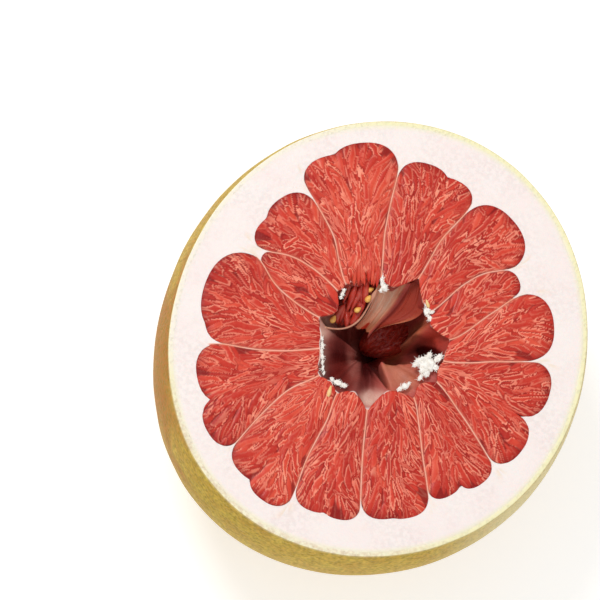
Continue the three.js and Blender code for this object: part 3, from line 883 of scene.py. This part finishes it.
class PomeloSegments(Operator):
    """Fourteen segments of flesh, each a cut field of juice sacs on a body that narrows downwards"""

    bl_idname = "pomelo.segments"
    bl_label = "Segments"

    def execute(self, context):
        sizes, colours = context.scene.pomelo_sizes, context.scene.pomelo_colours
        material = kept("juice_sacs", flesh_material, "juice_sacs", colours, 0, 0.4)
        for number in range(14):
            self.build(number, sizes, material)
        return {"FINISHED"}

    def build(self, number, sizes, material):
        """Face points are placed across and out; their height is a rounded border plus the field of sacs."""
        random = np.random.default_rng(100 + number)
        side, step = sizes.septum / MM / 2, sizes.flesh_step / MM
        x, y = segment_point(number, np.array([0.0, 1.0]), np.array([0.7, 0.7]), HEIGHT, side)
        width = math.hypot(x[1] - x[0], y[1] - y[0])
        length = float(np.max(lobe_edge(number, np.linspace(0, 1, 20))) - SEGMENTS[number][0])
        nu, nv = int(width / step), int(length / step)
        u, v = np.linspace(0, 1, nu), np.linspace(0, 1, nv)
        u = 0.75 * u + 0.25 * (0.5 - 0.5 * np.cos(np.pi * u))
        v = 0.8 * v + 0.2 * (0.5 - 0.5 * np.cos(np.pi * v))
        across, out = np.meshgrid(u, v)
        x, y = segment_point(number, across, out, HEIGHT, side)
        reach = lobe_edge(number, across) - core_edge(number, across)
        out_mm, in_mm = reach * (1 - out) + 0.15, reach * out
        local = np.hypot(x[:, -1] - x[:, 0], y[:, -1] - y[:, 0])[:, None]
        side_mm = np.minimum(across, 1 - across) * local
        border = np.minimum(np.minimum(side_mm, out_mm), in_mm)
        height, skin, shade, tone = spindle_field(x.ravel(), y.ravel(), make_spindles(number, sizes, random))
        height, skin, shade, tone = (a.reshape(x.shape) for a in (height, skin, shade, tone))
        fade = smooth(0.0, 0.8, border)
        rise = 0.45 * (1 - np.exp(-border / 2)) - 0.22 * np.exp(-((border / 0.3) ** 2))
        z = HEIGHT + rise + fade * sizes.sac_relief / MM * (height - 0.75)
        z = z + 0.022 * noise(x / 2.2, y / 2.2, 0.0, 40 + number)
        if number == TORN_SEGMENT:
            z = z - 3.5 * smooth(5, 0, in_mm) * smooth(1, 3, side_mm)
        z = np.minimum(z, HEIGHT + 0.95)
        # Painted shade: darker flesh along the lobes' outer ends and beside the walls
        outer_end_shade = np.exp(-out_mm / 1.5) * smooth(0.2, 0.8, noise(x / 6, y / 6, 0.0, 60) * 0.5 + 0.6)
        wall_side_shade = np.exp(-side_mm / 0.7) * (noise(x / 2.5, y / 2.5, 0.0, 61) * 0.5 + 0.5)
        tone = tone + 0.3 * (number in PALE_SEGMENTS)
        tone = np.clip(tone - 0.35 * np.exp(-out_mm / 3) + 0.35 * noise(x / 11, y / 11, 0.0, 62), 0, 1)
        shade = np.clip(0.8 * shade + 0.75 * outer_end_shade + 0.3 * wall_side_shade, 0, 0.8)
        vary = 0.84 + 0.25 * noise(x / 3, y / 3, 0.0, 70) + 0.35 * noise(x / 8, y / 8, 0.0, 75)
        skin = np.clip(skin * vary, 0, 0.9)
        skin = np.maximum(skin, 0.6 * np.exp(-((side_mm / 0.35) ** 2)))

        # Body under the face, down its levels to the floor
        ring = border_ring(nv, nu)
        a, o = across.ravel()[ring], np.clip(out.ravel()[ring], 0.09, 0.98)
        levels = [HEIGHT - 1.6, *[level for level in DEPTH_LEVELS if level >= SEGMENTS[number][1]]]
        points = [to_frame(x, y, z).reshape(-1, 3)]
        points += [to_frame(*segment_point(number, a, o, level, 0.8, 0.3), level + 0.3) for level in levels]
        points.append(points[-1].mean(0)[None])
        count, around = nu * nv, len(ring)
        total = count + around * len(levels)
        rings = np.concatenate((ring[None], np.arange(count, total).reshape(-1, around)))
        sides = rings.ravel()[grid_quads(len(rings), around, True)[:, ::-1]]
        faces = [grid_quads(nv, nu, False), sides, fan(rings[-1], total, True)]
        extra = total + 1 - count
        under = {"tone": (tone, 0.4), "skin": (skin, 0.0), "shade": (shade, 0.5)}
        values = {key: np.append(value.ravel(), np.full(extra, low)) for key, (value, low) in under.items()}
        name = f"flesh_{number + 1:02d}"
        add_piece(name, np.concatenate(points), faces, material, values, [f"segment_{number + 1:02d}"])


def spindle_shells(start, end, radius, rings=9, sides=8):
    """Closed spindles from start to end: the radius follows the sine of the way along, to the power 0.7."""
    way = np.linspace(0, 1, rings)
    profile = np.sin(np.pi * np.clip(way, 0.02, 0.98)) ** 0.7
    axis = end - start
    axis = axis / np.linalg.norm(axis, axis=1, keepdims=True)
    helper = np.where(np.abs(axis[:, 2:3]) < 0.9, [[0, 0, 1.0]], [[1.0, 0, 0]])
    one = np.cross(axis, helper)
    one = one / np.linalg.norm(one, axis=1, keepdims=True)
    two = np.cross(axis, one)
    turn = np.arange(sides) * 2 * np.pi / sides
    middle = start[:, None] + (end - start)[:, None] * way[None, :, None]
    ring = one[:, None] * np.cos(turn)[None, :, None] + two[:, None] * np.sin(turn)[None, :, None]
    points = middle[:, :, None] + ring[:, None] * (profile[None, :, None, None] * radius[:, None, None, None])
    tips = np.stack((start, end), 1)
    each = rings * sides + 2
    points = np.concatenate((points.reshape(len(start), -1, 3), tips), 1)
    return points.reshape(-1, 3), repeated(capped_rings(rings, sides, True), len(start), each), each


def as_seen(px, py, depth):
    """Face coordinates of what shows at px, py but lies deeper, for the tilted line of sight."""
    return px + LEAN[0] * depth, py + LEAN[1] * depth


class PomeloCoreSacs(Operator):
    """Loose juice sacs: a wet bunch hanging from the torn segment and dark ones deep in the hollow"""

    bl_idname = "pomelo.core_sacs"
    bl_label = "Core sacs"

    def execute(self, context):
        colours = context.scene.pomelo_colours
        # Both materials are darkened as painted shade for sacs inside the hollow
        material = kept("loose_sacs", flesh_material, "loose_sacs", colours, 0.24, 0.2, 0.35)
        dark = kept("deep_flesh", flesh_material, "deep_flesh", colours, 0.4, 0.25)
        random = np.random.default_rng(7)
        self.build("hanging_sacs", self.hanging(random), material, random)
        plain = kept("juice_sacs", flesh_material, "juice_sacs", colours, 0, 0.4)
        self.build("pale_sacs", self.pale(random), plain, random, 1.0)
        self.deep(random, dark)
        return {"FINISHED"}

    def hanging(self, random):
        """Middles are scattered over the torn place; each sac slopes down and inwards with some spread."""
        count = 40
        u, v = random.uniform(0, 1, count), random.uniform(0, 1, count)
        px = (-9.1 - 4.9 * v) * (1 - u) - 8.4 * v * u
        py = (19.9 - 12.2 * v) * (1 - u) + (18.1 - 11.8 * v) * u
        depth = 3.0 + 4.5 * v + random.uniform(0, 3.0, count)
        length = random.uniform(7, 12, count) * (1 - 0.35 * v)
        heading = math.radians(254) + random.normal(0, 0.22, count)
        slope = 0.24 + random.normal(0, 0.1, count)
        radius = random.uniform(0.8, 1.5, count)
        return px, py, depth, length, heading, slope, radius

    def pale(self, random):
        """Middles lie in a band above the torn place; the sacs hang straight towards the hollow."""
        count = 16
        px = np.linspace(-7.5, 0.8, count) + random.normal(0, 0.3, count)
        py = 21.5 + random.uniform(0, 4.5, count)
        depth = 0.1 + 0.25 * np.maximum(0, 22 - py) + random.uniform(0, 0.3, count)
        length = random.uniform(5.0, 8.0, count)
        heading = math.radians(268) + random.normal(0, 0.12, count)
        return px, py, depth, length, heading, 0.18 + 0 * px, random.uniform(0.55, 0.85, count)

    def deep(self, random, material):
        """A slanting oval of dark flesh: rings of points, a field of sacs high, closed underneath."""
        count = 120
        turn, reach = random.uniform(0, 2 * np.pi, count), np.sqrt(random.uniform(0, 1, count))
        sacs = (
            12 * reach * np.cos(turn), 6 * reach * np.sin(turn), random.normal(0.1, 0.5, count),
            random.uniform(2.0, 4.2, count), random.uniform(0.6, 1.2, count), random.uniform(0, 1.2, count),
            random.uniform(0, 1, count), random.uniform(0, 1, count),
        )
        rings, around = 46, 120
        turn = np.arange(around) * 2 * np.pi / around
        share, turn = np.meshgrid(np.linspace(0.02, 1, rings), turn, indexing="ij")
        u, v = 13.6 * share * np.cos(turn), 6.6 * share * np.sin(turn)
        height, skin, shade, tone = (a.reshape(u.shape) for a in spindle_field(u.ravel(), v.ravel(), sacs))
        c, s = math.cos(0.38), math.sin(0.38)
        px, py = 6.9 + u * c - v * s, 1.9 + u * s + v * c
        depth = 23.5 - 0.3 * v - 1.3 * height + 3.0 * share**6
        x, y = as_seen(px, py, depth)
        top = to_frame(x, y, HEIGHT - depth)
        under = top[-1] - [0, 0, 0.002]
        points = np.concatenate((top.reshape(-1, 3), under, top[:1].mean(1), under.mean(0)[None]))
        extra = len(points) - tone.size
        # Tone held low and skin faint: painted shade for flesh deep in the hollow
        values = {"tone": 0.6 * tone, "skin": 0.22 * skin, "shade": shade}
        values = {key: np.append(value.ravel(), np.zeros(extra)) for key, value in values.items()}
        add_piece("deep_sacs", points, capped_rings(rings + 1, around, True), material, values)

    def build(self, name, sacs, material, random, tone=0.5):
        px, py, depth, length, heading, slope, radius = sacs
        x, y = as_seen(px, py, depth)
        flat = length / 2 * np.cos(slope)
        dx, dy, dz = flat * np.cos(heading), flat * np.sin(heading), length / 2 * np.sin(slope)
        start = to_frame(x - dx, y - dy, HEIGHT - depth + dz)
        end = to_frame(x + dx, y + dy, HEIGHT - depth - dz)
        points, faces, each = spindle_shells(start, end, radius * MM)
        points[:, 2] = np.minimum(points[:, 2], (HEIGHT + 0.85) * MM)
        tone = np.repeat(np.clip(random.normal(tone, 0.25, len(px)), 0, 1), each)
        wave = noise(points[:, 0] / MM / 1.5, points[:, 1] / MM / 1.5, points[:, 2] / MM / 3, 15)
        values = {"tone": tone, "skin": np.clip(0.3 * wave, 0, 1), "shade": np.clip(-0.5 * wave, 0, 1)}
        add_piece(name, points, faces, material, values)


def curve_through(points, t):
    """Polynomial curve that passes through four points at even steps of t from 0 to 1."""
    points = np.array(points, float)
    knots = np.linspace(0, 1, len(points))
    total = 0.0
    for i in range(len(points)):
        weight = np.ones_like(t)
        for j in range(len(points)):
            if j != i:
                weight = weight * (t - knots[j]) / (knots[i] - knots[j])
        total = total + weight[..., None] * points[i]
    return total


# The torn wall hangs as a folded sheet: its left edge, its crease and its right edge, as seen x, y and depth
SHEET_LEFT = ((0.3, 19.4, 2.0), (-1.2, 14.0, 4.5), (-3.6, 9.0, 7.0), (-8.0, 3.8, 9.5))
SHEET_CREASE = ((12.0, 19.8, 4.0), (6.4, 11.2, 9.0), (1.9, 6.2, 12.0), (-3.0, 0.6, 14.5))
SHEET_RIGHT = ((17.0, 22.5, 2.0), (15.6, 8.8, 6.0), (6.2, 5.4, 10.0), (-2.4, 0.9, 14.0))
TORN_LIP = ((0.4, 17.8, 2.2), (-3.4, 10.6, 5.4), (-8.6, 4.9, 6.6), (-18.2, 4.4, 2.2))


class PomeloTornWall(Operator):
    """The loose sheet of torn wall that slopes across the hollow, and the torn lip below the seeds"""

    bl_idname = "pomelo.torn_wall"
    bl_label = "Torn wall"

    def execute(self, context):
        material = kept("torn_membrane", membrane_material, context.scene.pomelo_colours)
        self.sheet(material)
        self.lip(material)
        return {"FINISHED"}

    def sheet(self, material):
        """Across s two straight faces that meet in the crease, along t curves through four points."""
        rows, columns = 80, 110
        s, t = np.meshgrid(np.linspace(0, 1, columns), np.linspace(0, 1, rows))
        ragged = t * (1 - 0.10 * (0.5 + 0.5 * noise(s * 11, 0.0, 0.0, 56)) * smooth(0.5, 0.4, s))
        left, middle, right = (curve_through(edge, ragged) for edge in (SHEET_LEFT, SHEET_CREASE, SHEET_RIGHT))
        s3 = s[..., None]
        where = np.where(s3 < 0.5, left + (middle - left) * 2 * s3, middle + (right - middle) * (2 * s3 - 1))
        crease = np.exp(-(((s - 0.5) / 0.05) ** 2))
        streak = noise(s * 34, t * 1.6, 0.0, 51) * 0.6 + noise(s * 75, t * 3, 0.0, 52) * 0.4
        edge = smooth(0, 0.15, t) * smooth(0, 0.06, s)
        wrinkle = 0.28 * streak + 0.9 * noise(s * 6, t * 3, 0.0, 53)
        depth = where[..., 2] + wrinkle * edge - 1.0 * crease * edge
        x, y = as_seen(where[..., 0], where[..., 1], depth)
        top = to_frame(x, y, HEIGHT - depth).reshape(-1, 3)
        low = to_frame(x, y, HEIGHT - depth - 0.5).reshape(-1, 3)
        quads, ring, count = grid_quads(rows, columns, False), border_ring(rows, columns), len(top)
        rim = np.stack((ring, np.roll(ring, -1), np.roll(ring, -1) + count, ring + count), -1)
        # Painted shade along the crease, darker and tinted red
        crease_shade = smooth(0.40, 0.5, s) * smooth(0.60, 0.51, s)
        tone = 0.8 + 0.3 * streak - 0.8 * crease_shade
        # Painted highlight: along the lower edge, red and shade give way to tan
        lower_edge_highlight = smooth(0.84, 1.0, s) * smooth(0.25, 0.6, t)
        red = 0.85 * smooth(0.49, 0.53, s) * (1 - 0.8 * lower_edge_highlight)
        red = red + 0.25 * smooth(0.7, 1, t) * smooth(0.5, 0.3, s)
        stains = 0.8 * smooth(0.2, 0.5, noise(s * 9, t * 9, 0.0, 54))
        red = red + stains * smooth(0.62, 0.8, t) * smooth(0.45, 0.3, s)
        # dark: painted shade in the crease and over the right face of the fold
        dark = 0.55 * crease_shade * smooth(0.0, 0.2, t) + 0.28 * smooth(0.5, 0.56, s) * (1 - lower_edge_highlight)
        tone = tone + 0.5 * smooth(0.35, 0.0, t) * smooth(0.45, 0.1, s)
        pale = (0.32 + 0.32 * streak) * smooth(0.49, 0.3, s) * smooth(1.1, 0.4, t)
        red = red + 0.45 * crease_shade * (s < 0.5)
        values = {"tone": tone, "red": red, "dark": dark, "pale": pale}
        values = {key: np.clip(np.tile(value.ravel(), 2), 0, 1) for key, value in values.items()}
        faces = [quads, quads[:, ::-1] + count, rim[:, ::-1]]
        add_piece("torn_sheet", np.concatenate((top, low)), faces, material, values)

    def lip(self, material):
        """A flat tube along a curve through four points, its width waved by noise."""
        rows, sides = 70, 12
        t = np.linspace(0, 1, rows)
        path = curve_through(TORN_LIP, t)
        x, y = as_seen(*path.T)
        middle = np.stack((x, y, HEIGHT - path[:, 2]), -1)
        along = np.gradient(middle, axis=0)
        along = along / np.linalg.norm(along, axis=1, keepdims=True)
        side = np.cross(along, [0, 0, 1.0])
        side = side / np.linalg.norm(side, axis=1, keepdims=True)
        up = np.cross(side, along)
        turn = np.arange(sides) * 2 * np.pi / sides
        width = (0.55 + 0.3 * noise(t * 9, 0.0, 0.0, 55)) * (1 - 0.5 * t)
        ring = side[:, None] * (width[:, None] * np.cos(turn))[..., None]
        ring = ring + up[:, None] * (0.4 * np.sin(turn))[None, :, None]
        points = np.concatenate(((middle[:, None] + ring).reshape(-1, 3), middle[[0, -1]]))
        values = {"tone": 0.8, "red": 0, "dark": 0, "pale": 0.3}
        values = {key: np.full(len(points), value) for key, value in values.items()}
        add_piece("torn_lip", to_frame(*points.T), capped_rings(rows, sides), material, values)


def ball_grid(rows, columns):
    """Directions on a ball, row by row between its poles, and the faces that close it."""
    polar = np.linspace(0, np.pi, rows + 2)[1:-1, None]
    turn = (np.arange(columns) * 2 * np.pi / columns)[None]
    ways = np.stack((np.sin(polar) * np.cos(turn), np.sin(polar) * np.sin(turn), np.cos(polar) + 0 * turn), -1)
    ways = np.concatenate((ways.reshape(-1, 3), [[0, 0, 1.0], [0, 0, -1.0]]))
    return ways, capped_rings(rows, columns, True)


class PomeloTufts(Operator):
    """Ragged white fluff at the ends of the walls"""

    bl_idname = "pomelo.tufts"
    bl_label = "Tufts"

    def execute(self, context):
        """Balls whose radius is waved by coarse and fine noise, with short fibres that stand off them."""
        material = kept("white_fluff", fluff_material, context.scene.pomelo_colours)
        ways, faces = ball_grid(24, 38)
        random = np.random.default_rng(3)
        points, roots, ends = [], [], []
        for index, (x, y, size, stretch, turned) in enumerate(TUFTS):
            wave = noise(ways[:, 0] * 2.2, ways[:, 1] * 2.2, ways[:, 2] * 2.2 + index * 9, 81)
            fine = noise(ways[:, 0] * 6, ways[:, 1] * 6, ways[:, 2] * 6 + index * 5, 82)
            radius = size * (0.8 + 0.3 * wave + 0.18 * fine)
            ball = ways * radius[:, None] * [stretch, 1, 0.55]
            c, s = math.cos(math.radians(turned)), math.sin(math.radians(turned))
            ball = np.stack((ball[:, 0] * c - ball[:, 1] * s, ball[:, 0] * s + ball[:, 1] * c, ball[:, 2]), -1)
            middle = np.array([x, y, HEIGHT - 0.3 * size])
            place = middle + ball
            place[:, 2] = np.minimum(place[:, 2], HEIGHT + 0.8)
            points.append(to_frame(*place.T))
            chosen = random.choice(np.nonzero(ways[:, 2] > -0.5)[0], int(34 * size * stretch**0.5))
            reach = ball[chosen] / size + random.normal(0, 0.5, (len(chosen), 3))
            reach = reach * random.uniform(0.3, 0.9, (len(chosen), 1)) * min(size, 1.4) ** 0.5
            root = place[chosen] - 0.2 * reach
            end = root + reach
            end[:, 2] = np.minimum(end[:, 2], HEIGHT + 0.85)
            roots.append(to_frame(*root.T))
            ends.append(to_frame(*end.T))
        faces = repeated(faces, len(TUFTS), len(ways))
        add_piece("white_tufts", np.concatenate(points), faces, material)
        roots, ends = np.concatenate(roots), np.concatenate(ends)
        thin = random.uniform(0.05, 0.11, len(roots)) * MM
        points, faces, each = spindle_shells(roots, ends, thin, 5, 5)
        add_piece("tuft_fibres", points, faces, material)
        return {"FINISHED"}


class PomeloSeeds(Operator):
    """Undeveloped seeds: four amber ones in the torn place and two pale ones in the flesh"""

    bl_idname = "pomelo.seeds"
    bl_label = "Seeds"

    def execute(self, context):
        """Drops: a ball stretched along its axis and drawn to a blunt point at one end."""
        colours = context.scene.pomelo_colours
        material = kept("seed_coat", seed_material, "seed_coat", colours.seed, colours.seed_tip)
        pale = kept("pale_seed", seed_material, "pale_seed", colours.seed_pale, colours.bundle)
        ways, faces = ball_grid(16, 24)
        for index, (x, y, depth, turned, length) in enumerate(SEEDS + PALE_SEEDS):
            amber = index < len(SEEDS)
            thick = (0.34 if amber else 0.16) * length * (1 - 0.35 * ways[:, 0] - 0.15 * ways[:, 0] ** 2)
            c, s = math.cos(math.radians(turned)), math.sin(math.radians(turned))
            u, v, w = ways[:, 0] * length / 2, ways[:, 1] * thick, ways[:, 2] * thick
            points = to_frame(x + u * c - v * s, y + u * s + v * c, HEIGHT - depth + w)
            name = f"amber_seed_{index + 1}" if amber else f"pale_seed_{index - 3}"
            nodes = [f"seed_{index + 1}"] if amber else []
            add_piece(name, points, faces, material if amber else pale, None, nodes)
        return {"FINISHED"}


class PomeloStage(Operator):
    """Pale floor, soft light and the camera"""

    bl_idname = "pomelo.stage"
    bl_label = "Stage"

    def execute(self, context):
        scene = context.scene
        floor = bpy.data.meshes.new("floor")
        size = 6.0
        corners = [(-size, -size, 0), (size, -size, 0), (size, size, 0), (-size, size, 0)]
        floor.from_pydata(corners, [], [(0, 1, 2, 3)])
        stage = bpy.data.objects.new("floor", floor)
        scene.collection.objects.link(stage)
        floor.materials.append(floor_material())
        self.camera(scene)
        self.lights(scene)
        return {"FINISHED"}

    def camera(self, scene):
        """Above the front edge, tilted and rolled so that the face stands as in the photograph."""
        distance = scene.pomelo_sizes.camera_distance
        tilt, turn, roll = (math.radians(a) for a in (17.28, -1.73, 39.69))
        face = Vector((FRUIT_SHIFT[0] * MM, FRUIT_SHIFT[1] * MM, HEIGHT * MM))
        back = Vector((math.sin(turn) * math.sin(tilt), -math.cos(turn) * math.sin(tilt), math.cos(tilt)))
        level = Vector((math.cos(turn), math.sin(turn), 0))
        rise = back.cross(level)
        right = level * math.cos(roll) + rise * math.sin(roll)
        up = rise * math.cos(roll) - level * math.sin(roll)
        aim = face - right * 0.0260 + up * 0.01353
        place = face + back * distance
        away = (place - aim).normalized()
        right = up.cross(away).normalized()
        up = away.cross(right)
        data = bpy.data.cameras.new("camera")
        data.sensor_width = 36
        data.lens = 351.9 * distance / 2
        data.clip_start, data.clip_end = 0.01, 20
        camera = bpy.data.objects.new("camera", data)
        camera.matrix_world = Matrix.Translation(place) @ Matrix((right, up, away)).transposed().to_4x4()
        scene.collection.objects.link(camera)
        scene.camera = camera

    def lights(self, scene):
        """A large soft light from the upper left, a weaker one opposite and an even surround."""
        for name, place, size, power in (
            ("key", (-0.75, 0.15, 1.25), 0.5, 9.0),
            ("fill", (0.8, -0.5, 1.3), 1.2, 3.0),
        ):
            data = bpy.data.lights.new(name, "AREA")
            data.shape, data.size, data.energy = "DISK", size, power
            lamp = bpy.data.objects.new(name, data)
            lamp.location = place
            lamp.rotation_mode = "QUATERNION"
            lamp.rotation_quaternion = (Vector(place) - Vector((0, 0, 0.07))).to_track_quat("Z", "Y")
            scene.collection.objects.link(lamp)
        world = bpy.data.worlds.new("surround")
        world.use_nodes = True
        world.node_tree.nodes["Background"].inputs["Color"].default_value = (1, 1, 1, 1)
        world.node_tree.nodes["Background"].inputs["Strength"].default_value = 0.58
        scene.world = world
        scene.view_settings.view_transform = "Standard"
        scene.view_settings.look = "None"


class PomeloPanel(Panel):
    """Pieces, sizes and colours of the fruit"""

    bl_idname = "VIEW3D_PT_pomelo"
    bl_label = "Pomelo"
    bl_space_type = "VIEW_3D"
    bl_region_type = "UI"
    bl_category = "Pomelo"

    def draw(self, context):
        for step in STEPS:
            self.layout.operator(step.bl_idname)
        for group in (context.scene.pomelo_sizes, context.scene.pomelo_colours):
            column = self.layout.column()
            for key in group.__annotations__:
                column.prop(group, key)


STEPS = (
    PomeloRind,
    PomeloPith,
    PomeloSegments,
    PomeloCoreSacs,
    PomeloTornWall,
    PomeloTufts,
    PomeloSeeds,
    PomeloStage,
)
CLASSES = (PomeloSizes, PomeloColours, *STEPS, PomeloPanel)


def register():
    for cls in CLASSES:
        bpy.utils.register_class(cls)
    bpy.types.Scene.pomelo_sizes = PointerProperty(type=PomeloSizes)
    bpy.types.Scene.pomelo_colours = PointerProperty(type=PomeloColours)


def unregister():
    del bpy.types.Scene.pomelo_colours
    del bpy.types.Scene.pomelo_sizes
    for cls in reversed(CLASSES):
        bpy.utils.unregister_class(cls)


def main():
    """Makes every piece in order."""
    register()
    for step in STEPS:
        getattr(bpy.ops.pomelo, step.bl_idname.split(".")[1])()


if __name__ == "__main__":
    main()
